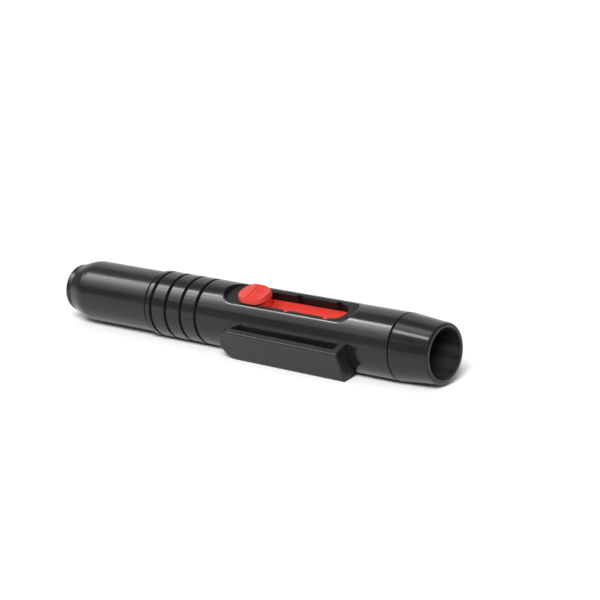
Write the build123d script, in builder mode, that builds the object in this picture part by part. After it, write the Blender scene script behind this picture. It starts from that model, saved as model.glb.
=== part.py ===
"""Lens cleaning pen: a sliding brush at one end, a capped cleaning tip at the other.

Millimetres. The pen lies as it rests on a table: +X runs along its axis towards the brush
mouth and +Z is up. The origin is on the table, under the middle of the pen's bounding box.
The pen is rolled about its axis so that the barrel and the clip's lower edge both touch the
table. Stations along the pen are measured from the seam between barrel and nose collar.
"""

import math
import os

from build123d import *

os.makedirs("parts", exist_ok=True)

# ---------------------------------------------------------------- driving dimensions
ROLL = 22.8                 # roll of the slot from straight up, towards -Y
BARREL_R = 8.1
COLLAR_R = 8.12             # widest round part, so its rear edge rests on the table
CAP_R = 7.6
BORE_R = 5.7                # barrel bore that guides the brush holder
MOUTH_R = 6.05              # nose collar bore

MOUTH_X = 10.8              # front of the nose collar
NOSE_END_R = 7.15           # where the collar's straight taper would meet its front face
NOSE_ROUND = 0.6
BARREL_REAR_X = -74.95
CAP_FRONT_X = -75.65
CAP_SHOULDER_X = -97.2
CAP_REAR_X = -102.4
CAP_END_X = -104.6

NOTCH_X = (-42.2, -31.9, -19.9)     # detents: brush drawn in, half out and fully out
TRAVEL = NOTCH_X[-1] - NOTCH_X[0]

CLIP_REACH = 11.7           # outer face of the clip from the pen axis, at its root
CLIP_FALL = 0.7             # how much nearer the axis that face is at its free end
CLIP_WIDTH = 8.0
CLIP_THICK = 1.7
CLIP_EDGE = 0.4             # rounding along the clip's edges
CLIP_FRONT_X = -11.55
CLIP_FREE_X = -49.0
CLIP_GAP_X = (-45.4, -13.4)
CLIP_FOOT = (2.2, 2.6)      # run and rise of the sloped foot at the clip's free end
CLIP_STANDOFF = 0.1
TANG_BOTTOM = 6.75
TANG_WIDTH = 5.0

# ---------------------------------------------------------------- barrel details
GROOVE_W = 0.85
GROOVE_DEPTH = 0.65
FIRST_GROOVE_X = -73.1
GROOVE_PITCH = 4.87
GROOVE_COUNT = 4
SEAM_W = 0.28               # open ring between barrel and nose collar
SEAM_FLOOR_R = 7.25
SPIGOT_R = 6.95             # collar spigot in the barrel's front counterbore
SPIGOT_LEN = 6.5
PLUG_R = 6.4                # neck plug in the barrel's rear counterbore
PLUG_FRONT_X = -63.0
PLUG_WALL = 1.2

RECESS_FLOOR = 7.0          # height of the flat recess floor above the pen axis
RECESS_HALF_W = 3.85
RECESS_BEVEL = (0.07, 0.4) # bevel round the recess, down its wall and out over the skin
RECESS_X = (-52.1, -12.4)
SLOT_HALF_W = 2.8
SLOT_X = (-48.0, -15.5)
TANG_POCKET = (1.9, 5.3, 1.5)   # length, width and depth of the pocket for the clip's tang
NOTCH_DEPTH = 0.65
NOTCH_REAR = 0.85           # reach of a notch behind its middle, steep on that side
NOTCH_FRONT = 1.5           # and ahead of it, where it slopes out
NOTCH_FLAT = 0.5            # half its width at the bottom

# ---------------------------------------------------------------- slider and brush
HOLDER_R = 5.55
HOLDER_X = (-61.5, -12.0)
COVER_TOP = 4.85            # flat red strip under the slot
COVER_SEAT = 3.75           # flat on the brush holder that carries the strip
COVER_X = (-61.5, -14.6)
PEG_X = (-56.0, -32.0)
PEG_R = 0.9
PEG_DEPTH = 1.0
HOLDER_CORE_R = 2.3         # hollow behind the brush
POST_HALF_W = 2.6           # post that joins the strip to the button through the slot
POST_X = (-45.3, -39.0)
POST_TOP = 7.9
NUB_R = 0.45
NUB_REACH = 0.12            # how far the nubs stand out of the post
BUTTON_X = (-47.8, -38.8)
BUTTON_W = 6.6
BUTTON_BASE = 7.2
BUTTON_TOP = 8.75
BUTTON_TAPER = 13           # lean of the button's wall
BUTTON_EDGE = 0.35
SCOOP_X = (-42.9, -38.5)    # thumb scoop ahead of the groove
SCOOP_DEPTH = 0.5
THUMB_GROOVE_X = -43.5
THUMB_GROOVE_R = 0.3
DOME_DROP = 0.75            # fall of the button's back from the groove to its rear end
FERRULE_R = 4.6
SHANK_R = 3.1
FERRULE_WALL = 0.35
FERRULE_X = (-24.0, -10.4)
FERRULE_SHOULDER_X = -14.4
BRISTLE_TIP_X = 2.6
BRISTLE_FLARE_R = 5.0

# ---------------------------------------------------------------- neck, tip and cap
NECK_R = 6.1
NECK_END_X = -84.0
NECK_STOP_X = CAP_FRONT_X + 0.1     # flange face that the cap closes against
SNAP_GROOVE_X = (-81.0, -79.6)
SNAP_GROOVE_DEPTH = 0.2
NECK_FLANGE_R = 6.85
KEY_R = 6.22                # key ribs on the neck
KEY_X = (-79.2, -76.8)
KEY_W = 1.0
KEYWAY_W = 1.2
KEYWAY_DEPTH = 0.13         # clearance over the key ribs
LIP_R = 6.35                # snap lip at the cap's open end
STEM_R = 2.2
STEM_THIN_R = 1.5
BALL_R = 2.0
BALL_X = -87.2
SOCKET_R = 2.1
HUB_R = 3.3
HUB_X = -85.9
HEAD_R = 4.6
HEAD_X = (-92.4, -90.6)
PAD_FACE_X = -94.0
CUSHION_X = -93.2
CAP_BORE_R = 6.68
SLEEVE_R = (6.15, 6.6)
SLEEVE_X = (-84.6, -76.2)
CUP_R = (6.1, 6.66)
CUP_X = (-98.3, -84.75)
SPONGE_X = (-97.2, -94.9)
STEP_R = 6.35               # small end of the cap's rounded shoulder
END_PLUG_R = 5.95
END_STEM_R = 4.6
END_EDGE = 0.8

# ---------------------------------------------------------------- frame of the pen
roll = math.radians(ROLL)
clip_low = CLIP_REACH - CLIP_EDGE
clip_side = CLIP_WIDTH / 2 - CLIP_EDGE
reach_y = clip_low * math.cos(roll) + clip_side * math.sin(roll) + CLIP_EDGE
ORIGIN = (-(MOUTH_X + CAP_END_X) / 2, (reach_y - COLLAR_R) / 2, COLLAR_R)

# Every plane below holds the pen axis: PROFILE for turned outlines, SLOT_PLANE facing the
# slot, CLIP_PLANE facing the clip a quarter turn away, and CLIP_PROFILE for the clip's side view.
PEN_AXIS = Axis(ORIGIN, (1, 0, 0))
PROFILE = Plane(ORIGIN, x_dir=(1, 0, 0), z_dir=(0, -1, 0))
SLOT_PLANE = Plane(ORIGIN, x_dir=(1, 0, 0), z_dir=(0, -math.sin(roll), math.cos(roll)))
CLIP_PLANE = Plane(ORIGIN, x_dir=(1, 0, 0), z_dir=(0, -math.cos(roll), -math.sin(roll)))
CLIP_PROFILE = Plane(ORIGIN, x_dir=(1, 0, 0), z_dir=(0, math.sin(roll), -math.cos(roll)))


def turned(points, mode=Mode.ADD):
    """Revolve a closed outline of (station, radius) points about the pen axis."""
    with BuildSketch(PROFILE) as outline:
        with BuildLine():
            Polyline(*points, close=True)
        make_face()
    revolve(outline.sketch, axis=PEN_AXIS, mode=mode)


def tube(x_range, outer, inner=0.0, mode=Mode.ADD):
    """A plain ring or rod between two stations."""
    x0, x1 = x_range
    turned([(x0, inner), (x1, inner), (x1, outer), (x0, outer)], mode=mode)


def stadium(plane, x_range, half_w, depth, mode=Mode.ADD):
    """A round-ended bar along the pen, rising from the plane by depth."""
    x0, x1 = x_range
    with BuildSketch(plane) as shape:
        with Locations(((x0 + x1) / 2, 0)):
            SlotOverall(x1 - x0, 2 * half_w)
    extrude(shape.sketch, amount=depth, mode=mode)


def finish(part, label):
    """Name a finished piece and write it to its own file."""
    part.label = label
    export_step(part, f"parts/{label}.step")


# ================================================================ barrel group
def cut_notches():
    """Pairs of detent notches in the two long edges of the slot."""
    with BuildSketch(SLOT_PLANE.offset(RECESS_FLOOR - 3)) as notches:
        for x in NOTCH_X:
            for side in (-1, 1):
                inner = side * (SLOT_HALF_W - 0.3)
                outer = side * (SLOT_HALF_W + NOTCH_DEPTH)
                with BuildLine():
                    Polyline(
                        (x - NOTCH_REAR, inner),
                        (x + NOTCH_FRONT, inner),
                        (x + NOTCH_FLAT, outer),
                        (x - NOTCH_FLAT, outer),
                        close=True,
                    )
                make_face()
    extrude(notches.sketch, amount=4, mode=Mode.SUBTRACT)


with BuildPart() as barrel:
    turned([
        (BARREL_REAR_X, BORE_R),
        (0, BORE_R),
        (0, BARREL_R - 0.2),
        (-0.2, BARREL_R),
        (BARREL_REAR_X + 0.15, BARREL_R),
        (BARREL_REAR_X, BARREL_R - 0.15),
    ])
    tube((-SPIGOT_LEN, 0), SPIGOT_R, mode=Mode.SUBTRACT)
    tube((BARREL_REAR_X, PLUG_FRONT_X), PLUG_R, mode=Mode.SUBTRACT)
    for i in range(GROOVE_COUNT):
        groove_x = FIRST_GROOVE_X + i * GROOVE_PITCH
        turned([
            (groove_x - GROOVE_W / 2 - 0.1, BARREL_R + 0.1),
            (groove_x - GROOVE_W / 2 + 0.1, BARREL_R - GROOVE_DEPTH),
            (groove_x + GROOVE_W / 2 - 0.1, BARREL_R - GROOVE_DEPTH),
            (groove_x + GROOVE_W / 2 + 0.1, BARREL_R + 0.1),
        ], mode=Mode.SUBTRACT)
    stadium(SLOT_PLANE.offset(RECESS_FLOOR), RECESS_X, RECESS_HALF_W, 4, mode=Mode.SUBTRACT)
    skin = barrel.faces().filter_by(GeomType.CYLINDER).sort_by(SortBy.AREA)[-1]
    rim = skin.edges().filter_by_position(Axis.X, *(ORIGIN[0] + x for x in RECESS_X))
    bevel_down, bevel_out = RECESS_BEVEL
    chamfer(rim, length=bevel_out, length2=bevel_down, reference=skin)
    stadium(SLOT_PLANE, SLOT_X, SLOT_HALF_W, 10, mode=Mode.SUBTRACT)
    cut_notches()
    pocket_len, pocket_w, pocket_depth = TANG_POCKET
    with BuildSketch(CLIP_PLANE.offset(BARREL_R - pocket_depth)):
        with Locations((CLIP_FRONT_X - 1.0, 0)):
            Rectangle(pocket_len, pocket_w)
    extrude(amount=2 * pocket_depth, mode=Mode.SUBTRACT)
finish(barrel.part, "barrel")

with BuildPart() as nose_collar:
    # straight taper from the seam to a rounded front rim, and a spigot behind the open seam
    with BuildSketch(PROFILE) as collar_outline:
        with BuildLine():
            Polyline(
                (-SPIGOT_LEN + 0.2, MOUTH_R),
                (MOUTH_X - 0.15, MOUTH_R),
                (MOUTH_X, MOUTH_R + 0.15),
                (MOUTH_X, NOSE_END_R),
                (SEAM_W + 0.2, COLLAR_R),
                (SEAM_W, COLLAR_R - 0.2),
                (SEAM_W, SEAM_FLOOR_R),
                (0.02, SEAM_FLOOR_R),
                (0.02, SPIGOT_R),
                (-SPIGOT_LEN + 0.2, SPIGOT_R),
                close=True,
            )
        make_face()
        fillet(vertices().sort_by_distance((MOUTH_X, NOSE_END_R))[0], radius=NOSE_ROUND)
    revolve(collar_outline.sketch, axis=PEN_AXIS)
finish(nose_collar.part, "nose_collar")

with BuildPart() as neck_plug:
    turned([
        (PLUG_FRONT_X - 0.1, STEM_R),
        (PLUG_FRONT_X - 0.1, PLUG_R),
        (BARREL_REAR_X, PLUG_R),
        (BARREL_REAR_X, NECK_FLANGE_R),
        (NECK_STOP_X, NECK_FLANGE_R),
        (NECK_STOP_X, NECK_R),
        (SNAP_GROOVE_X[1], NECK_R),
        (SNAP_GROOVE_X[1] - SNAP_GROOVE_DEPTH, NECK_R - SNAP_GROOVE_DEPTH),
        (SNAP_GROOVE_X[0] + SNAP_GROOVE_DEPTH, NECK_R - SNAP_GROOVE_DEPTH),
        (SNAP_GROOVE_X[0], NECK_R),
        (NECK_END_X + 0.5, NECK_R),
        (NECK_END_X, NECK_R - 0.5),
        (NECK_END_X, STEM_R),
    ])
    # hollow between the outer wall and the stem's boss
    hollow_x = (BARREL_REAR_X + 4, PLUG_FRONT_X - 0.1)
    tube(hollow_x, PLUG_R - PLUG_WALL, STEM_R + PLUG_WALL, mode=Mode.SUBTRACT)
    # two key ribs stop the cap's sleeve from turning
    with BuildSketch(PROFILE.offset(-KEY_W / 2)):
        with Locations((sum(KEY_X) / 2, 0)):
            Rectangle(KEY_X[1] - KEY_X[0], 2 * KEY_R)
    extrude(amount=KEY_W)
    tube((NECK_END_X, PLUG_FRONT_X), STEM_R, mode=Mode.SUBTRACT)
finish(neck_plug.part, "neck_plug")

with BuildPart() as tip_stem:
    ball_front_x = BALL_X + math.sqrt(BALL_R**2 - STEM_THIN_R**2)
    with BuildSketch(PROFILE) as stem_outline:
        with BuildLine():
            Polyline(
                (BALL_X - BALL_R, 0),
                (PLUG_FRONT_X - 1.0, 0),
                (PLUG_FRONT_X - 1.0, STEM_R),
                (NECK_END_X, STEM_R),
                (NECK_END_X - 0.8, STEM_THIN_R),
                (ball_front_x, STEM_THIN_R),
            )
            ThreePointArc((ball_front_x, STEM_THIN_R), (BALL_X, BALL_R), (BALL_X - BALL_R, 0))
        make_face()
    revolve(stem_outline.sketch, axis=PEN_AXIS)
finish(tip_stem.part, "tip_stem")

# ================================================================ cleaning tip
with BuildPart() as tip_head:
    # ball socket whose lip holds the stem's ball, on a disc that carries the pad
    lip_x = BALL_X + 0.4
    lip_r = math.sqrt(SOCKET_R**2 - (lip_x - BALL_X)**2)
    with BuildSketch(PROFILE) as head_outline:
        with BuildLine():
            ThreePointArc((BALL_X - SOCKET_R, 0), (BALL_X, SOCKET_R), (lip_x, lip_r))
            Polyline(
                (lip_x, lip_r),
                (HUB_X, lip_r + 0.4),
                (HUB_X, HUB_R - 0.3),
                (HUB_X - 0.3, HUB_R),
                (HEAD_X[1] + 0.6, HUB_R),
                (HEAD_X[1], HEAD_R - 0.3),
                (HEAD_X[1] - 0.3, HEAD_R),
                (HEAD_X[0], HEAD_R),
                (HEAD_X[0], 0),
                (BALL_X - SOCKET_R, 0),
            )
        make_face()
    revolve(head_outline.sketch, axis=PEN_AXIS)
finish(tip_head.part, "tip_head")

with BuildPart() as pad_cushion:
    tube((CUSHION_X, HEAD_X[0]), HEAD_R - 0.15)
finish(pad_cushion.part, "pad_cushion")

with BuildPart() as cleaning_pad:
    turned([
        (CUSHION_X, 0),
        (CUSHION_X, HEAD_R - 0.05),
        (PAD_FACE_X + 0.3, HEAD_R - 0.05),
        (PAD_FACE_X, HEAD_R - 0.4),
        (PAD_FACE_X + 0.25, 0),
    ])
finish(cleaning_pad.part, "cleaning_pad")

# ================================================================ pocket clip
with BuildPart() as pocket_clip:
    # bar with a round free end, standing off the barrel and leaning in towards that end
    round_x = CLIP_FREE_X + CLIP_WIDTH / 2
    lean = CLIP_FALL / (CLIP_FRONT_X - CLIP_FREE_X)
    with BuildSketch(CLIP_PLANE.offset(BARREL_R - 2.5)):
        with BuildLine():
            Polyline(
                (round_x, -CLIP_WIDTH / 2),
                (CLIP_FRONT_X, -CLIP_WIDTH / 2),
                (CLIP_FRONT_X, CLIP_WIDTH / 2),
                (round_x, CLIP_WIDTH / 2),
            )
            ThreePointArc((round_x, CLIP_WIDTH / 2), (CLIP_FREE_X, 0), (round_x, -CLIP_WIDTH / 2))
        make_face()
    extrude(amount=CLIP_REACH - BARREL_R + 3.5)
    with BuildSketch(CLIP_PROFILE.offset(-CLIP_WIDTH)):
        with BuildLine():
            Polyline(
                (CLIP_FRONT_X + 1, CLIP_REACH + lean),
                (CLIP_FREE_X - 1, CLIP_REACH - CLIP_FALL - lean),
                (CLIP_FREE_X - 1, CLIP_REACH + 2),
                (CLIP_FRONT_X + 1, CLIP_REACH + 2),
                close=True,
            )
        make_face()
    extrude(amount=2 * CLIP_WIDTH, mode=Mode.SUBTRACT)
    outer_face = pocket_clip.faces().sort_by(Axis(ORIGIN, CLIP_PLANE.z_dir))[-1]
    fillet(outer_face.edges(), radius=CLIP_EDGE)
    # gap for a pocket's edge, open on both sides, with a sloped foot at its rear end
    foot_run, foot_rise = CLIP_FOOT
    gap_rear, gap_front = CLIP_GAP_X
    gap_top = CLIP_REACH - CLIP_THICK
    gap_low = gap_top - lean * (gap_front - gap_rear)
    with BuildSketch(CLIP_PROFILE.offset(-CLIP_WIDTH)):
        with BuildLine():
            Polyline(
                (gap_rear + foot_run, 0),
                (gap_front, 0),
                (gap_front, gap_top),
                (gap_rear, gap_low),
                (gap_rear + foot_run, gap_low - foot_rise),
                close=True,
            )
        make_face()
        fillet(vertices().group_by(Axis.Y)[-1], radius=0.6)
    extrude(amount=2 * CLIP_WIDTH, mode=Mode.SUBTRACT)
    # leg and free end follow the barrel's curve
    tube((CLIP_FREE_X - 1, CLIP_FRONT_X + 1), BARREL_R + CLIP_STANDOFF, mode=Mode.SUBTRACT)
    # tang that sits in the barrel's pocket
    with BuildSketch(CLIP_PLANE.offset(TANG_BOTTOM)):
        with Locations((CLIP_FRONT_X - 0.85, 0)):
            Rectangle(1.3, TANG_WIDTH)
    extrude(amount=CLIP_REACH - CLIP_THICK - TANG_BOTTOM)
finish(pocket_clip.part, "pocket_clip")

# ================================================================ slider and brush
with BuildPart() as brush_holder:
    rear, front = HOLDER_X
    turned([
        (rear, 0),
        (rear, HOLDER_R - 0.3),
        (rear + 0.3, HOLDER_R),
        (front - 0.3, HOLDER_R),
        (front, HOLDER_R - 0.3),
        (front, FERRULE_R),
        (FERRULE_SHOULDER_X, FERRULE_R),
        (FERRULE_SHOULDER_X, SHANK_R),
        (FERRULE_X[0], SHANK_R),
        (FERRULE_X[0], 0),
    ])
    tube((rear, FERRULE_X[0] - 2), HOLDER_CORE_R, mode=Mode.SUBTRACT)
    # flat seat for the red cover strip, with two peg holes
    with BuildSketch(SLOT_PLANE.offset(COVER_SEAT)):
        with Locations((sum(COVER_X) / 2, 0)):
            Rectangle(COVER_X[1] - COVER_X[0], 2 * HOLDER_R)
    extrude(amount=HOLDER_R, mode=Mode.SUBTRACT)
    with BuildSketch(SLOT_PLANE.offset(COVER_SEAT - PEG_DEPTH)):
        with Locations(*[(x, 0) for x in PEG_X]):
            Circle(PEG_R)
    extrude(amount=PEG_DEPTH, mode=Mode.SUBTRACT)
finish(brush_holder.part, "brush_holder")

with BuildPart() as slider_cover:
    # slice of a round bar between the seat and the strip's flat top
    tube(COVER_X, HOLDER_R)
    split(bisect_by=SLOT_PLANE.offset(COVER_SEAT), keep=Keep.TOP)
    split(bisect_by=SLOT_PLANE.offset(COVER_TOP), keep=Keep.BOTTOM)
    with BuildSketch(SLOT_PLANE.offset(COVER_SEAT - PEG_DEPTH + 0.1)):
        with Locations(*[(x, 0) for x in PEG_X]):
            Circle(PEG_R)
    extrude(amount=PEG_DEPTH)
    # post through the slot, with a detent nub on each side
    post_base = COVER_TOP - 0.2
    stadium(SLOT_PLANE.offset(post_base), POST_X, POST_HALF_W, POST_TOP - post_base)
    with BuildSketch(SLOT_PLANE.offset(post_base)):
        for side in (-1, 1):
            with Locations((NOTCH_X[0], side * (POST_HALF_W + NUB_REACH - NUB_R))):
                Circle(NUB_R)
    extrude(amount=RECESS_FLOOR - 0.1 - post_base)
finish(slider_cover.part, "slider_cover")

with BuildPart() as slider_button:
    # oval cap with a leaning wall
    rear, front = BUTTON_X
    with BuildSketch(SLOT_PLANE.offset(BUTTON_BASE)):
        with Locations(((rear + front) / 2, 0)):
            SlotOverall(front - rear, BUTTON_W)
    extrude(amount=BUTTON_TOP - BUTTON_BASE, taper=BUTTON_TAPER)
    top_face = slider_button.faces().sort_by(Axis(ORIGIN, SLOT_PLANE.z_dir))[-1]
    fillet(top_face.edges(), radius=BUTTON_EDGE)
    # side view of what is taken off its top: a domed back, a groove and a thumb scoop
    scoop_rear, scoop_front = SCOOP_X
    scoop_middle = (scoop_rear + scoop_front) / 2
    over = BUTTON_TOP + 1
    with BuildSketch(CLIP_PLANE.offset(-BUTTON_W)):
        with BuildLine():
            ThreePointArc(
                (rear - 0.5, BUTTON_TOP - DOME_DROP),
                ((rear + THUMB_GROOVE_X) / 2, BUTTON_TOP - DOME_DROP / 3),
                (THUMB_GROOVE_X, BUTTON_TOP),
            )
            Polyline(
                (THUMB_GROOVE_X, BUTTON_TOP),
                (THUMB_GROOVE_X, over),
                (rear - 0.5, over),
                (rear - 0.5, BUTTON_TOP - DOME_DROP),
            )
        make_face()
        with BuildLine():
            ThreePointArc(
                (scoop_rear, BUTTON_TOP),
                (scoop_middle, BUTTON_TOP - SCOOP_DEPTH),
                (scoop_front, BUTTON_TOP),
            )
            Line((scoop_rear, BUTTON_TOP), (scoop_front, BUTTON_TOP))
        make_face()
        with Locations((THUMB_GROOVE_X, BUTTON_TOP)):
            Circle(THUMB_GROOVE_R)
    extrude(amount=2 * BUTTON_W, mode=Mode.SUBTRACT)
    # socket that presses over the post
    socket_depth = POST_TOP - BUTTON_BASE
    stadium(SLOT_PLANE.offset(BUTTON_BASE), POST_X, POST_HALF_W, socket_depth, mode=Mode.SUBTRACT)
finish(slider_button.part, "slider_button")

with BuildPart() as brush_ferrule:
    shank_rear, head_front = FERRULE_X
    turned([
        (shank_rear, SHANK_R - FERRULE_WALL),
        (shank_rear, SHANK_R),
        (FERRULE_SHOULDER_X, SHANK_R),
        (FERRULE_SHOULDER_X, FERRULE_R),
        (head_front, FERRULE_R),
        (head_front, FERRULE_R - FERRULE_WALL),
        (FERRULE_SHOULDER_X + FERRULE_WALL, FERRULE_R - FERRULE_WALL),
        (FERRULE_SHOULDER_X + FERRULE_WALL, SHANK_R - FERRULE_WALL),
    ])
finish(brush_ferrule.part, "brush_ferrule")

with BuildPart() as bristle_plug:
    tube((FERRULE_X[0] + 1, FERRULE_SHOULDER_X + FERRULE_WALL), SHANK_R - FERRULE_WALL - 0.02)
finish(bristle_plug.part, "bristle_plug")

with BuildPart() as bristle_bundle:
    root_x = FERRULE_SHOULDER_X + FERRULE_WALL + 0.02
    root_r = FERRULE_R - FERRULE_WALL - 0.05
    with BuildSketch(PROFILE) as tuft:
        with BuildLine():
            Polyline((BRISTLE_TIP_X, 0), (root_x, 0), (root_x, root_r), (FERRULE_X[1], root_r))
            Spline(
                (FERRULE_X[1], root_r),
                (BRISTLE_TIP_X - 6.6, BRISTLE_FLARE_R - 0.15),
                (BRISTLE_TIP_X - 3.6, BRISTLE_FLARE_R - 0.3),
                (BRISTLE_TIP_X - 1.0, 3.0),
                (BRISTLE_TIP_X, 0),
                tangents=[(1, 0.1), (0, -1)],
            )
        make_face()
    revolve(tuft.sketch, axis=PEN_AXIS)
finish(bristle_bundle.part, "bristle_bundle")

# ================================================================ cap group
with BuildPart() as cap_sleeve:
    tube(SLEEVE_X, SLEEVE_R[1], SLEEVE_R[0])
    # keyways for the neck's ribs
    with BuildSketch(PROFILE.offset(-KEYWAY_W / 2)):
        with Locations((sum(SLEEVE_X) / 2, 0)):
            Rectangle(SLEEVE_X[1] - SLEEVE_X[0], 2 * (KEY_R + KEYWAY_DEPTH))
    extrude(amount=KEYWAY_W, mode=Mode.SUBTRACT)
finish(cap_sleeve.part, "cap_sleeve")

with BuildPart() as cap_shell:
    turned([
        (CAP_FRONT_X, LIP_R),
        (CAP_FRONT_X, CAP_R - 0.15),
        (CAP_FRONT_X - 0.15, CAP_R),
        (CAP_SHOULDER_X, CAP_R),
        (CAP_SHOULDER_X - 1.2, CAP_R - 0.12),
        (CAP_SHOULDER_X - 2.4, CAP_R - 0.4),
        (CAP_REAR_X + 0.2, STEP_R),
        (CAP_REAR_X, STEP_R - 0.2),
        (CAP_REAR_X, END_STEM_R),
        (CUP_X[0] - 0.05, END_STEM_R),
        (CUP_X[0] - 0.05, CAP_BORE_R),
        (SLEEVE_X[1] + 0.06, CAP_BORE_R),
        (SLEEVE_X[1] + 0.06, LIP_R),
    ])
finish(cap_shell.part, "cap_shell")

with BuildPart() as cap_end_plug:
    turned([
        (CUP_X[0] - 0.1, 0),
        (CUP_X[0] - 0.1, END_STEM_R - 0.3),
        (CUP_X[0] - 0.4, END_STEM_R),
        (CAP_REAR_X, END_STEM_R),
        (CAP_REAR_X, END_PLUG_R),
        (CAP_END_X, END_PLUG_R),
        (CAP_END_X, 0),
    ])
    end_face = cap_end_plug.faces().sort_by(Axis.X)[0]
    fillet(end_face.edges(), radius=END_EDGE)
finish(cap_end_plug.part, "cap_end_plug")

with BuildPart() as sponge_cup:
    inner, outer = CUP_R
    turned([
        (CUP_X[0], 0),
        (CUP_X[0], outer - 0.3),
        (CUP_X[0] + 0.3, outer),
        (CUP_X[1], outer),
        (CUP_X[1], inner + 0.2),
        (CUP_X[1] - 0.2, inner),
        (SPONGE_X[0] - 0.02, inner),
        (SPONGE_X[0] - 0.02, 0),
    ])
finish(sponge_cup.part, "sponge_cup")

with BuildPart() as carbon_sponge:
    tube(SPONGE_X, CUP_R[0] - 0.05)
    fillet(carbon_sponge.faces().sort_by(Axis.X)[-1].edges(), radius=0.3)
finish(carbon_sponge.part, "carbon_sponge")
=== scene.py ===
import math
import random

import bmesh
import bpy
from mathutils import Matrix, Vector, noise


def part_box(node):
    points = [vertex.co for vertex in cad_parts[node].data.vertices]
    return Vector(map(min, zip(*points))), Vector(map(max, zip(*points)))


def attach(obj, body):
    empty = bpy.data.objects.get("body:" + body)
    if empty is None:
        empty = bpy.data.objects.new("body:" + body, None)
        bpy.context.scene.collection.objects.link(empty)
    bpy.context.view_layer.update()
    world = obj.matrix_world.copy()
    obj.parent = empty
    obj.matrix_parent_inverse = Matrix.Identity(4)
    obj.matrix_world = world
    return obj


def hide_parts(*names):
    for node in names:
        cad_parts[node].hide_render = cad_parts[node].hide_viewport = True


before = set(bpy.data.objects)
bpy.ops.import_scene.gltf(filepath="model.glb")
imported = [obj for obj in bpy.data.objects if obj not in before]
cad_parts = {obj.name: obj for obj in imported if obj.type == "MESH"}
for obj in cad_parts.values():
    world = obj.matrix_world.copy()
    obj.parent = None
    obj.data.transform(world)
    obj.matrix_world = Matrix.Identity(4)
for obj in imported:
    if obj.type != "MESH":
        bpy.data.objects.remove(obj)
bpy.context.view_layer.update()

MM = 0.001
MICRON = 1e-6

# ---------------------------------------------------------------- places read from the frame
BARREL_LOW, BARREL_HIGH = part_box("barrel")
AXIS_Y = (BARREL_LOW.y + BARREL_HIGH.y) / 2
AXIS_Z = (BARREL_LOW.z + BARREL_HIGH.z) / 2
SEAM_X = BARREL_HIGH.x
BARREL_R = (BARREL_HIGH.z - BARREL_LOW.z) / 2

# ---------------------------------------------------------------- camera
# it looks down at a point above the middle of the slot
CAMERA_AIM = (SEAM_X - 31.8 * MM, AXIS_Y, AXIS_Z + 6.7 * MM)
CAMERA_DISTANCE = 593.3 * MM
CAMERA_AZIMUTH = 39.86
CAMERA_ELEVATION = 14.36
CAMERA_ROLL = 1.80
CAMERA_LENS = 150.0
CAMERA_SENSOR = 36.0
CAMERA_NEAR = 0.01


def add_camera():
    azimuth, elevation = math.radians(CAMERA_AZIMUTH), math.radians(CAMERA_ELEVATION)
    back = Vector((
        math.sin(azimuth) * math.cos(elevation),
        -math.cos(azimuth) * math.cos(elevation),
        math.sin(elevation),
    ))
    data = bpy.data.cameras.new("camera")
    data.lens = CAMERA_LENS
    data.sensor_width = CAMERA_SENSOR
    data.clip_start = CAMERA_NEAR
    camera = bpy.data.objects.new("camera", data)
    turn = (-back).to_track_quat("-Z", "Y").to_matrix()
    lean = Matrix.Rotation(math.radians(-CAMERA_ROLL), 3, "Z")
    camera.matrix_world = Matrix.Translation(Vector(CAMERA_AIM) + back * CAMERA_DISTANCE) @ (
        turn @ lean
    ).to_4x4()
    bpy.context.scene.collection.objects.link(camera)
    bpy.context.scene.camera = camera


# ---------------------------------------------------------------- studio, in metres
FLOOR_HALF = 6.0
WORLD_STRENGTH = 0.30

# Lamps that hang level in the rig: start and end in plan, width, radiance. A bent tube draws the
# bright streak along the pen, dimmer panels in front of it fade the streak out below, and the last
# one draws a fainter band above it on the collar.
RIG_HEIGHT = 1.5
PANELS = {
    "tube_dim": ((-1.95, -0.43), (-1.28, -0.38), 0.15, 12.0),
    "tube_long": ((-1.28, -0.38), (-1.05, -0.36), 0.20, 21.0),
    "tube_short": ((-1.05, -0.35), (-0.66, -1.05), 0.15, 17.0),
    "fade_near": ((-2.4, -0.74), (-1.02, -0.70), 0.46, 6.5),
    "fade_middle": ((-2.8, -1.22), (-1.15, -1.22), 0.54, 3.2),
    "fade_far": ((-3.6, -2.1), (-1.3, -2.1), 1.2, 1.3),
    "bounce": ((-0.92, -0.22), (-0.40, -0.22), 0.45, 2.6),
}

WALL_PLACE = (-3.0, 2.5, 2.4)
WALL_WIDTH, WALL_HEIGHT = 9.0, 5.0
WALL_RADIANCE = 0.6

# Broad light from the sky: azimuth, elevation and spread in degrees, irradiance.
WIDE_LIGHTS = {
    "overhead": (0, 88, 75, 0.3),
    "front": (32, 37, 22, 4.4),
}


def add_area_light(name, width, height, radiance, place, shaded):
    """A rectangular lamp with an even radiance. It lights the pen and shows in its gloss, and
    leaves the shaded collection dark."""
    data = bpy.data.lights.new(name, "AREA")
    data.shape = "RECTANGLE"
    data.size, data.size_y = width, height
    data.energy = radiance * math.pi * width * height
    light = bpy.data.objects.new(name, data)
    light.matrix_world = place
    light.light_linking.receiver_collection = shaded
    bpy.context.scene.collection.objects.link(light)


def add_panel(name, start, end, width, radiance, shaded):
    """A lamp in the rig that faces down, along a run from start to end in plan."""
    run = Vector((end[0] - start[0], end[1] - start[1], 0))
    middle = Vector(((start[0] + end[0]) / 2, (start[1] + end[1]) / 2, RIG_HEIGHT))
    place = Matrix.Translation(middle) @ Matrix.Rotation(math.atan2(run.y, run.x), 4, "Z")
    add_area_light(name, run.length, width, radiance, place, shaded)


def add_back_wall(shaded):
    """A bright wall beyond the pen, which lightens the upper side of its gloss."""
    place = Matrix.Translation(WALL_PLACE) @ Matrix.Rotation(math.radians(-90), 4, "X")
    add_area_light("back_wall", WALL_WIDTH, WALL_HEIGHT, WALL_RADIANCE, place, shaded)


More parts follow.
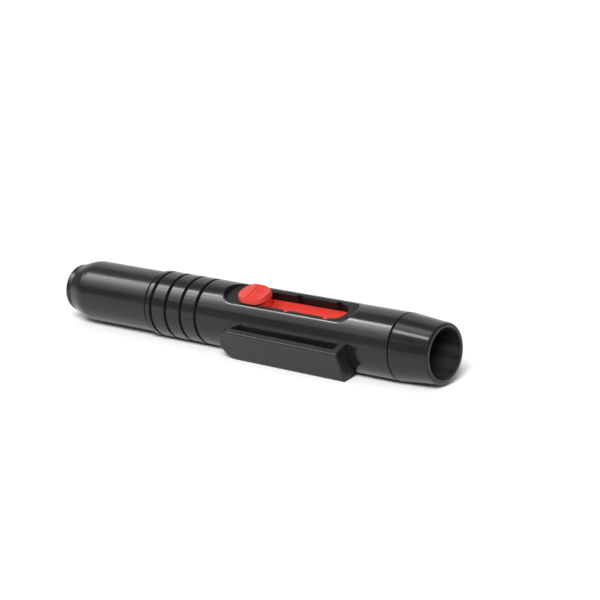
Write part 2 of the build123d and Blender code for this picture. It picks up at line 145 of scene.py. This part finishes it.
def add_wide_light(name, azimuth, elevation, spread, irradiance):
    """Soft light from one side of the sky, which draws no highlight of its own."""
    data = bpy.data.lights.new(name, "SUN")
    data.energy = irradiance
    data.angle = math.radians(spread)
    light = bpy.data.objects.new(name, data)
    light.rotation_euler = (math.radians(90 - elevation), 0, math.radians(azimuth))
    light.visible_glossy = False
    bpy.context.scene.collection.objects.link(light)


def add_floor():
    """A wide pale table, in a collection that the lamps don't light."""
    corners = [(-FLOOR_HALF, -FLOOR_HALF, 0), (FLOOR_HALF, -FLOOR_HALF, 0),
               (FLOOR_HALF, FLOOR_HALF, 0), (-FLOOR_HALF, FLOOR_HALF, 0)]
    floor_mesh = bpy.data.meshes.new("floor")
    floor_mesh.from_pydata(corners, [], [(0, 1, 2, 3)])
    floor_mesh.materials.append(floor_material())
    floor = bpy.data.objects.new("floor", floor_mesh)
    bpy.context.scene.collection.objects.link(floor)
    shaded = bpy.data.collections.new("not_lit_by_panels")
    shaded.objects.link(floor)
    shaded.collection_objects[0].light_linking.link_state = "EXCLUDE"
    return shaded


def add_studio():
    world = bpy.data.worlds.new("studio")
    bpy.context.scene.world = world
    world.use_nodes = True
    background = world.node_tree.nodes["Background"]
    background.inputs["Color"].default_value = (1.0, 1.0, 1.0, 1.0)
    background.inputs["Strength"].default_value = WORLD_STRENGTH

    shaded = add_floor()
    for name, (start, end, width, radiance) in PANELS.items():
        add_panel(name, start, end, width, radiance, shaded)
    add_back_wall(shaded)
    for name, (azimuth, elevation, spread, irradiance) in WIDE_LIGHTS.items():
        add_wide_light(name, azimuth, elevation, spread, irradiance)


# ---------------------------------------------------------------- material parts
def new_material(name):
    material = bpy.data.materials.new(name)
    material.use_nodes = True
    nodes = material.node_tree.nodes
    return material, nodes, material.node_tree.links, nodes["Principled BSDF"]


def object_noise(nodes, links, scale, detail=4.0, stretch=(1, 1, 1)):
    """A noise in object space, with scale in waves per metre, drawn out along an axis by a
    stretch under 1."""
    place = nodes.new("ShaderNodeTexCoord")
    squeeze = nodes.new("ShaderNodeMapping")
    squeeze.inputs["Scale"].default_value = stretch
    texture = nodes.new("ShaderNodeTexNoise")
    texture.inputs["Scale"].default_value = scale
    texture.inputs["Detail"].default_value = detail
    texture.inputs["Roughness"].default_value = 0.55
    links.new(place.outputs["Object"], squeeze.inputs["Vector"])
    links.new(squeeze.outputs["Vector"], texture.inputs["Vector"])
    return texture.outputs["Fac"]


def cells(nodes, links, scale):
    """Distance to the nearest of scattered points, with scale in cells per metre."""
    place = nodes.new("ShaderNodeTexCoord")
    texture = nodes.new("ShaderNodeTexVoronoi")
    texture.inputs["Scale"].default_value = scale
    links.new(place.outputs["Object"], texture.inputs["Vector"])
    return texture.outputs["Distance"]


def remap(nodes, links, value, low, high, start=0.35, stop=0.65):
    """Run from low to high while a value goes from start to stop."""
    spread = nodes.new("ShaderNodeMapRange")
    spread.inputs["From Min"].default_value = start
    spread.inputs["From Max"].default_value = stop
    spread.inputs["To Min"].default_value = low
    spread.inputs["To Max"].default_value = high
    links.new(value, spread.inputs["Value"])
    return spread.outputs["Result"]


def blend_colours(nodes, links, value, dark, light, start=0.35, stop=0.65):
    """Run from dark to light while a value goes from start to stop."""
    ramp = nodes.new("ShaderNodeValToRGB")
    ramp.color_ramp.elements[0].position = start
    ramp.color_ramp.elements[1].position = stop
    ramp.color_ramp.elements[0].color = (*dark, 1)
    ramp.color_ramp.elements[1].color = (*light, 1)
    links.new(value, ramp.inputs["Fac"])
    return ramp.outputs["Color"]


# a mix node's sockets by data type: its two inputs and its output
MIX_SOCKETS = {"FLOAT": (2, 3, 0), "RGBA": (6, 7, 2)}


def mix(nodes, links, data_type, factor, first, second):
    """The first value where the factor is 0, and the second where it is 1."""
    node = nodes.new("ShaderNodeMix")
    node.data_type = data_type
    first_in, second_in, result = MIX_SOCKETS[data_type]
    links.new(factor, node.inputs[0])
    links.new(first, node.inputs[first_in])
    links.new(second, node.inputs[second_in])
    return node.outputs[result]


def bump(nodes, links, value, height, normal=None):
    """Raise a surface by a value, with its height in metres."""
    node = nodes.new("ShaderNodeBump")
    node.inputs["Distance"].default_value = height
    links.new(value, node.inputs["Height"])
    if normal is not None:
        links.new(normal, node.inputs["Normal"])
    return node.outputs["Normal"]


def soft_edges(nodes, radius):
    """Normals that round off hard edges, as on a moulded part."""
    node = nodes.new("ShaderNodeBevel")
    node.samples = 6
    node.inputs["Radius"].default_value = radius
    return node.outputs["Normal"]


def depth_under_skin(nodes, links, skin_radius):
    """0 on the pen's skin and 1 inside it, by the distance from the pen's axis."""
    fade = 0.2 * MM
    place = nodes.new("ShaderNodeTexCoord")
    centred = nodes.new("ShaderNodeVectorMath")
    centred.operation = "SUBTRACT"
    centred.inputs[1].default_value = (0, AXIS_Y, AXIS_Z)
    across = nodes.new("ShaderNodeVectorMath")
    across.operation = "MULTIPLY"
    across.inputs[1].default_value = (0, 1, 1)
    distance = nodes.new("ShaderNodeVectorMath")
    distance.operation = "LENGTH"
    links.new(place.outputs["Object"], centred.inputs[0])
    links.new(centred.outputs[0], across.inputs[0])
    links.new(across.outputs[0], distance.inputs[0])
    return remap(nodes, links, distance.outputs["Value"], 1.0, 0.0, skin_radius - fade, skin_radius)


# ---------------------------------------------------------------- materials
def floor_material():
    material, nodes, links, shader = new_material("floor")
    cloud = object_noise(nodes, links, 3.0)
    tone = blend_colours(nodes, links, cloud, (0.93, 0.93, 0.93), (0.96, 0.96, 0.96))
    links.new(tone, shader.inputs["Base Color"])
    shader.inputs["Roughness"].default_value = 0.9
    shader.inputs["Specular IOR Level"].default_value = 0.2
    return material


def plastic(name, dark, light, roughness, edge, skin_radius=None, painted_inside_light=0.5):
    """Moulded plastic: soft edges, faint flow marks along the pen in its colour and gloss, and a
    fine grain. With a skin radius, surfaces nearer the axis than that have the duller inner
    roughness, and their dark tone is multiplied by the painted inside light: painted shade
    below 1, painted light above 1."""
    material, nodes, links, shader = new_material(name)
    inner_roughness = (0.55, 0.65)
    flow = object_noise(nodes, links, 420.0, stretch=(0.12, 1, 1))
    colour = blend_colours(nodes, links, flow, dark, light)
    haze = object_noise(nodes, links, 900.0, detail=6.0, stretch=(0.2, 1, 1))
    gloss = remap(nodes, links, haze, *roughness)
    if skin_radius is not None:
        inside = depth_under_skin(nodes, links, skin_radius)
        # below 1 this paints shade onto the inside surfaces, above 1 it paints light onto them
        shade = tuple(painted_inside_light * part for part in dark)
        painted_inside_colour = blend_colours(nodes, links, flow, shade, dark)
        colour = mix(nodes, links, "RGBA", inside, colour, painted_inside_colour)
        dull = remap(nodes, links, haze, *inner_roughness)
        gloss = mix(nodes, links, "FLOAT", inside, gloss, dull)
    links.new(colour, shader.inputs["Base Color"])
    links.new(gloss, shader.inputs["Roughness"])
    grain = object_noise(nodes, links, 7000.0, detail=2.0)
    grained = bump(nodes, links, grain, 0.8 * MICRON, soft_edges(nodes, edge))
    links.new(grained, shader.inputs["Normal"])
    shader.inputs["IOR"].default_value = 1.40
    return material


def drawn_metal():
    """Bright tube with drawing lines along its length."""
    material, nodes, links, shader = new_material("drawn_metal")
    lines = object_noise(nodes, links, 5000.0, detail=3.0, stretch=(0.02, 1, 1))
    links.new(blend_colours(nodes, links, lines, (0.50, 0.50, 0.52), (0.70, 0.70, 0.72)),
              shader.inputs["Base Color"])
    links.new(remap(nodes, links, lines, 0.22, 0.38), shader.inputs["Roughness"])
    links.new(bump(nodes, links, lines, 3 * MICRON, soft_edges(nodes, 0.08 * MM)),
              shader.inputs["Normal"])
    shader.inputs["Metallic"].default_value = 1.0
    return material


def rubber():
    """Dull black rubber with dust on it."""
    material, nodes, links, shader = new_material("rubber")
    dust = object_noise(nodes, links, 1500.0, detail=6.0)
    links.new(blend_colours(nodes, links, dust, (0.014, 0.014, 0.015), (0.026, 0.026, 0.027)),
              shader.inputs["Base Color"])
    links.new(remap(nodes, links, dust, 0.62, 0.78), shader.inputs["Roughness"])
    links.new(bump(nodes, links, dust, 8 * MICRON, soft_edges(nodes, 0.15 * MM)),
              shader.inputs["Normal"])
    return material


def hair():
    """Dark brush hair that varies from strand to strand."""
    material, nodes, links, shader = new_material("hair")
    strand = object_noise(nodes, links, 3500.0, detail=2.0, stretch=(0.04, 1, 1))
    links.new(blend_colours(nodes, links, strand, (0.010, 0.008, 0.006), (0.055, 0.042, 0.030)),
              shader.inputs["Base Color"])
    links.new(remap(nodes, links, strand, 0.38, 0.55), shader.inputs["Roughness"])
    shader.inputs["Sheen Weight"].default_value = 0.25
    return material


def chamois():
    """Napped skin, darkened in patches by the carbon it carries."""
    material, nodes, links, shader = new_material("chamois")
    nap = object_noise(nodes, links, 6000.0, detail=5.0)
    carbon = object_noise(nodes, links, 450.0, detail=3.0)
    fibre = blend_colours(nodes, links, nap, (0.020, 0.019, 0.018), (0.050, 0.048, 0.046))
    dusted = blend_colours(nodes, links, nap, (0.008, 0.008, 0.008), (0.022, 0.022, 0.022))
    patches = remap(nodes, links, carbon, 0.0, 1.0)
    links.new(mix(nodes, links, "RGBA", patches, fibre, dusted), shader.inputs["Base Color"])
    links.new(remap(nodes, links, nap, 0.85, 0.98), shader.inputs["Roughness"])
    links.new(bump(nodes, links, nap, 25 * MICRON), shader.inputs["Normal"])
    shader.inputs["Sheen Weight"].default_value = 0.4
    shader.inputs["Sheen Roughness"].default_value = 0.6
    return material


def carbon_foam():
    """Open foam full of carbon dust, with shade painted into its pores."""
    material, nodes, links, shader = new_material("carbon_foam")
    pores = cells(nodes, links, 2600.0)
    # painted shade: the colour darkens towards the middle of each pore
    tone = blend_colours(nodes, links, pores, (0.005, 0.005, 0.005), (0.026, 0.026, 0.027), 0.1, 0.6)
    links.new(tone, shader.inputs["Base Color"])
    dust = object_noise(nodes, links, 4000.0, detail=4.0)
    links.new(remap(nodes, links, dust, 0.85, 0.97), shader.inputs["Roughness"])
    links.new(bump(nodes, links, pores, 60 * MICRON), shader.inputs["Normal"])
    return material


# ---------------------------------------------------------------- dressing the CAD nodes
GLOSSY_PARTS = dict(dark=(0.006, 0.006, 0.0065), light=(0.010, 0.010, 0.0108))
SATIN_PARTS = dict(dark=(0.007, 0.007, 0.0075), light=(0.011, 0.011, 0.0115))
MATT_PARTS = dict(dark=(0.004, 0.004, 0.004), light=(0.007, 0.007, 0.007))
RED_PARTS = dict(dark=(0.40, 0.024, 0.016), light=(0.46, 0.029, 0.019))


def dress(node, material):
    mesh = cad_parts[node].data
    mesh.materials.clear()
    mesh.materials.append(material)


def dress_frame():
    polished = (0.13, 0.19)
    # painted shade: surfaces set in below the skin, such as the recess, slot and bore, have their
    # dark tone halved
    barrel = plastic("black_barrel", **GLOSSY_PARTS, roughness=polished, edge=0.18 * MM,
                     skin_radius=BARREL_R - 0.2 * MM)
    # painted light: the inside of the bore is four times lighter than the skin's dark tone
    collar = plastic("black_collar", **GLOSSY_PARTS, roughness=polished, edge=0.14 * MM,
                     skin_radius=6.2 * MM, painted_inside_light=4.0)
    cap = plastic("black_cap", **GLOSSY_PARTS, roughness=(0.20, 0.23), edge=0.12 * MM)
    satin = plastic("black_satin", **SATIN_PARTS, roughness=(0.26, 0.34), edge=0.16 * MM)
    inner = plastic("black_matt", **MATT_PARTS, roughness=(0.45, 0.55), edge=0.10 * MM)
    red = plastic("red_plastic", **RED_PARTS, roughness=(0.30, 0.40), edge=0.14 * MM)
    dress("barrel", barrel)
    dress("nose_collar", collar)
    dress("cap_shell", cap)
    dress("cap_end_plug", cap)
    dress("pocket_clip", satin)
    for node in ("neck_plug", "brush_holder", "cap_sleeve", "sponge_cup", "tip_head", "bristle_plug"):
        dress(node, inner)
    for node in ("slider_button", "slider_cover"):
        dress(node, red)
    dress("tip_stem", rubber())
    dress("brush_ferrule", drawn_metal())


# ---------------------------------------------------------------- soft pieces
def make_piece(name, mesh_builder, material):
    """A new object from a bmesh, smooth-shaded and with its one material."""
    mesh = bpy.data.meshes.new(name)
    mesh_builder.to_mesh(mesh)
    mesh_builder.free()
    mesh.materials.append(material)
    mesh.shade_smooth()
    piece = bpy.data.objects.new(name, mesh)
    bpy.context.scene.collection.objects.link(piece)
    return piece


def on_axis(x, radius, angle):
    """A point round the pen's axis, at a distance from it."""
    return Vector((x, AXIS_Y + radius * math.cos(angle), AXIS_Z + radius * math.sin(angle)))


def node_span(node):
    """Where a turned node lies: its two ends along the pen and its radius."""
    low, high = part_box(node)
    return low.x, high.x, (high.z - low.z) / 2


# the brush's tuft
BRISTLES = 1900
BRISTLE_SIDES = 4
BRISTLE_STEPS = 7
BRISTLE_THICK = 0.065 * MM      # from a hair's middle to its skin, at the root
BRISTLE_TAPER = 0.75            # share of that thickness lost on the way to the tip
ROOT_GAP = 0.05 * MM            # how far in front of the tuft's rear end the hairs start
ROOT_SHARE = 0.83               # radius where the hairs leave the ferrule, as a share of the flare
OUTER_SHARE = 0.965             # the outermost hair's place, as a share of the tuft's radius
TUFT_DOME = 4.6 * MM            # how far the tuft's rim lies behind its tip
FLARE_WAVE = 0.62               # part of a half wave run by the flare, which closes in at the tip
GOLDEN_TURN = math.pi * (3 - math.sqrt(5))


def add_bristles():
    """Tapered hairs that leave the ferrule side by side, flare a little and end in a dome."""
    root_x, tip_x, flare_r = node_span("bristle_bundle")
    mouth_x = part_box("brush_ferrule")[1].x
    root_r = flare_r * ROOT_SHARE
    rng = random.Random(7)
    builder = bmesh.new()
    for index in range(BRISTLES):
        # an even spiral fills the disc, and the outermost hairs stay just inside the envelope
        share = math.sqrt((index + 0.5) / BRISTLES) * OUTER_SHARE
        angle = index * GOLDEN_TURN + rng.uniform(-0.05, 0.05)
        reach = tip_x - TUFT_DOME * (1 - math.sqrt(1 - share**2)) - rng.uniform(0.05, 0.45) * MM
        sway = rng.uniform(-0.10, 0.10)
        lift = rng.uniform(-0.010, 0.010)
        spine = []
        for step in range(BRISTLE_STEPS):
            t = step / (BRISTLE_STEPS - 1)
            x = root_x + ROOT_GAP + (reach - root_x) * t
            out = min(1.0, max(0.0, (x - mouth_x) / (tip_x - mouth_x)))
            spread = root_r + (flare_r - root_r) * math.sin(out * math.pi * FLARE_WAVE)
            radius = max(0.0, (share + lift * out) * spread - BRISTLE_THICK)
            spine.append((on_axis(x, radius, angle + sway * out * out), 1 - BRISTLE_TAPER * t))
        add_strand(builder, spine)
    piece = make_piece("bristles", builder, hair())
    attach(piece, "slider")
    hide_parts("bristle_bundle")


def add_strand(builder, spine):
    """One closed hair along a spine of (point, share of full thickness)."""
    rings = []
    for place, share in spine:
        ring = []
        for k in range(BRISTLE_SIDES):
            angle = 2 * math.pi * k / BRISTLE_SIDES
            offset = Vector((0, math.cos(angle), math.sin(angle))) * BRISTLE_THICK * share
            ring.append(builder.verts.new(place + offset))
        rings.append(ring)
    for near, far in zip(rings[:-1], rings[1:]):
        for k in range(BRISTLE_SIDES):
            nxt = (k + 1) % BRISTLE_SIDES
            builder.faces.new((near[k], near[nxt], far[nxt], far[k]))
    builder.faces.new(rings[0][::-1])
    builder.faces.new(rings[-1])


def skin_over(builder, rings):
    """Join rings of vertices into a closed skin, whose first and last rings are single points."""
    first, last = rings[0][0], rings[-1][0]
    count = len(rings[1])
    for k in range(count):
        builder.faces.new((first, rings[1][(k + 1) % count], rings[1][k]))
        builder.faces.new((last, rings[-2][k], rings[-2][(k + 1) % count]))
    for near, far in zip(rings[1:-2], rings[2:-1]):
        for k in range(count):
            nxt = (k + 1) % count
            builder.faces.new((near[k], near[nxt], far[nxt], far[k]))


def turned_pad(outline, around, ripple):
    """A closed turned skin from (x, radius) points, the two ends on the axis, with each point
    moved by ripple(point), a vector."""
    builder = bmesh.new()
    rings = []
    for x, radius in outline:
        if radius == 0:
            rings.append([builder.verts.new(on_axis(x, 0, 0))])
            continue
        angles = [2 * math.pi * k / around for k in range(around)]
        rings.append([builder.verts.new(on_axis(x, radius, angle)) for angle in angles])
    skin_over(builder, rings)
    for vert in builder.verts:
        vert.co += ripple(vert.co.copy())
    bmesh.ops.recalc_face_normals(builder, faces=builder.faces)
    return builder


def face_rows(x_of, radius, rows):
    """Points from the axis out to a radius over a face, whose x is x_of(share of the radius)."""
    return [(x_of(row / rows), radius * row / rows) for row in range(rows + 1)]


def flat_face(x, radius, rows):
    """Points from the axis out to a radius over a face square to the pen."""
    return face_rows(lambda share: x, radius, rows)


def inward(point):
    """Unit vector from a point towards the pen's axis, and the distance to it."""
    across = Vector((0, AXIS_Y - point.y, AXIS_Z - point.z))
    return across.normalized(), across.length


def add_cleaning_pad():
    """Dished chamois disc with a rolled edge and a napped face."""
    low_x, high_x, radius = node_span("cleaning_pad")
    radius -= 0.02 * MM
    front_x = low_x + 0.03 * MM
    back_x = high_x - 0.02 * MM
    dish = 0.26 * MM
    roll, roll_steps = 0.22 * MM, 8
    bevel, back_steps = 0.10 * MM, 6
    nap_size = 0.35 * MM
    face_nap, edge_nap = 0.03 * MM, 0.02 * MM

    face = face_rows(lambda share: front_x + dish * (1 - share * share), radius - roll, 26)
    edge = []
    for k in range(1, roll_steps + 1):
        turn = math.pi / 2 * k / roll_steps
        edge.append((front_x + roll * (1 - math.cos(turn)), radius - roll * (1 - math.sin(turn))))
    side = [(back_x - bevel, radius), (back_x, radius - bevel)]
    back = [(back_x, (radius - bevel) * (1 - k / back_steps)) for k in range(1, back_steps + 1)]

    def nap(point):
        rough = noise.fractal(point / nap_size, 0.8, 2.0, 3)
        towards_axis, _ = inward(point)
        depth = 0.5 + 0.5 * max(-1.0, min(1.0, rough))
        return Vector((face_nap * depth, 0, 0)) + towards_axis * edge_nap * depth

    piece = make_piece("chamois_pad", turned_pad(face + edge + side + back, 144, nap), chamois())
    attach(piece, "tip")
    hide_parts("cleaning_pad")


def add_pad_cushion():
    """Thin foam disc between the chamois and the tip head, squeezed in at its waist."""
    low_x, high_x, radius = node_span("pad_cushion")
    end_gap = 0.01 * MM
    side_r = radius - 0.03 * MM
    waist = 0.14 * MM
    steps, rows = 8, 4
    pore_size, pore_depth = 0.16 * MM, 0.10 * MM
    skin_share = 0.9

    front = flat_face(low_x + end_gap, side_r, rows)
    side = []
    for k in range(1, steps):
        along = k / steps
        side.append((low_x + (high_x - low_x) * along, side_r - waist * math.sin(math.pi * along)))
    back = flat_face(high_x - end_gap, side_r, rows)[::-1]

    def pores(point):
        towards_axis, distance = inward(point)
        pit = max(0.0, noise.noise(point / pore_size))
        return towards_axis * pore_depth * pit * (distance > radius * skin_share)

    piece = make_piece("pad_foam", turned_pad(front + side + back, 160, pores), carbon_foam())
    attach(piece, "tip")
    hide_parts("pad_cushion")


def add_sponge():
    """Carbon sponge in the cap: a crowned disc with open pores."""
    low_x, high_x, radius = node_span("carbon_sponge")
    radius -= 0.03 * MM
    bevel = 0.15 * MM
    round_edge, round_steps = 0.45 * MM, 8
    crown = 0.18 * MM
    side_start, side_length, side_steps = low_x + bevel, high_x - low_x - 0.8 * MM, 6
    cell_size, cell_depth = 0.42 * MM, 0.11 * MM
    speck_size, speck_depth = 0.12 * MM, 0.03 * MM

    back = flat_face(low_x + 0.01 * MM, radius - bevel, 6)
    side = [(side_start + side_length * k / side_steps, radius) for k in range(side_steps + 1)]
    rim = []
    for k in range(1, round_steps):
        turn = math.pi / 2 * k / round_steps
        rim.append((high_x - crown - round_edge * (1 - math.sin(turn)),
                    radius - round_edge * (1 - math.cos(turn))))
    face = face_rows(lambda share: high_x - crown * share * share, radius - round_edge, 40)[::-1]

    def pores(point):
        """Pits that deepen towards the sponge's face, and run half as deep into its side."""
        near = noise.voronoi(point / cell_size)[0]
        wall = min(1.0, (near[1] - near[0]) * 2.2)
        towards_axis, distance = inward(point)
        rough = 0.5 + 0.5 * noise.noise(point / speck_size)
        pit = cell_depth * wall + speck_depth * rough
        front = min(1.0, max(0.0, (point.x - low_x) / (high_x - low_x) * 2 - 0.6))
        rim_share = min(1.0, max(0.0, distance / radius * 10 - 9))
        return Vector((-pit * front, 0, 0)) + towards_axis * pit * rim_share * 0.5

    piece = make_piece("sponge", turned_pad(back + side + rim + face, 200, pores), carbon_foam())
    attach(piece, "cap")
    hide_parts("carbon_sponge")


bpy.context.scene.view_settings.view_transform = "Standard"
add_camera()
add_studio()
dress_frame()
add_bristles()
add_cleaning_pad()
add_pad_cushion()
add_sponge()
